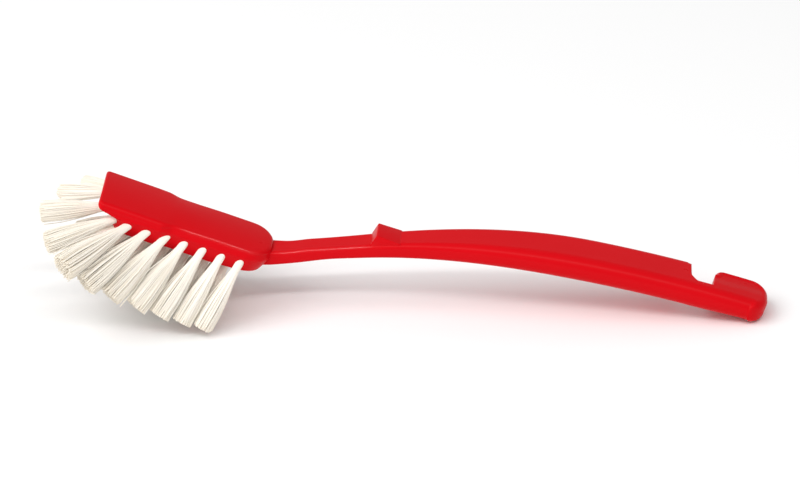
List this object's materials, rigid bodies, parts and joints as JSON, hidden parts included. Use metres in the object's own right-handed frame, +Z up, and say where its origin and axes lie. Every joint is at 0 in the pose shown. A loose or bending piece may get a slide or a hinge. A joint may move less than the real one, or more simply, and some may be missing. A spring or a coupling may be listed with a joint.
{
  "type": "dish brush",
  "caption": "One-handed dish brush: moulded head with flared filament tufts, thin neck with a thumb stop, arched grip and a hook end with a side notch for hanging.",
  "frame": {"origin": "On the floor, under the middle of the brush's bounding box as it lies on its bristle tips and the end of its grip.", "axes": "+X along the brush from the bristles to the hook end, +Y to the side with the hang notch, +Z up."},
  "size_m": [0.283, 0.0762, 0.0547],
  "materials": {
    "body_plastic": "smooth glossy red moulding",
    "bristle_nylon": "cream filament, cut ends",
    "anchor_wire": "drawn flat wire"
  },
  "bodies": {
    "root": {"anchor_staples": "anchor_wire", "brush_body": "body_plastic", "tuft_far_1": "bristle_nylon", "tuft_far_2": "bristle_nylon", "tuft_far_3": "bristle_nylon", "tuft_far_4": "bristle_nylon", "tuft_far_5": "bristle_nylon", "tuft_far_6": "bristle_nylon", "tuft_far_7": "bristle_nylon", "tuft_front_centre": "bristle_nylon", "tuft_front_far": "bristle_nylon", "tuft_front_near": "bristle_nylon", "tuft_inner_far_1": "bristle_nylon", "tuft_inner_far_2": "bristle_nylon", "tuft_inner_far_3": "bristle_nylon", "tuft_inner_far_4": "bristle_nylon", "tuft_inner_far_5": "bristle_nylon", "tuft_inner_far_6": "bristle_nylon", "tuft_inner_near_1": "bristle_nylon", "tuft_inner_near_2": "bristle_nylon", "tuft_inner_near_3": "bristle_nylon", "tuft_inner_near_4": "bristle_nylon", "tuft_inner_near_5": "bristle_nylon", "tuft_inner_near_6": "bristle_nylon", "tuft_near_1": "bristle_nylon", "tuft_near_2": "bristle_nylon", "tuft_near_3": "bristle_nylon", "tuft_near_4": "bristle_nylon", "tuft_near_5": "bristle_nylon", "tuft_near_6": "bristle_nylon", "tuft_near_7": "bristle_nylon"}
  },
  "joints": []
}
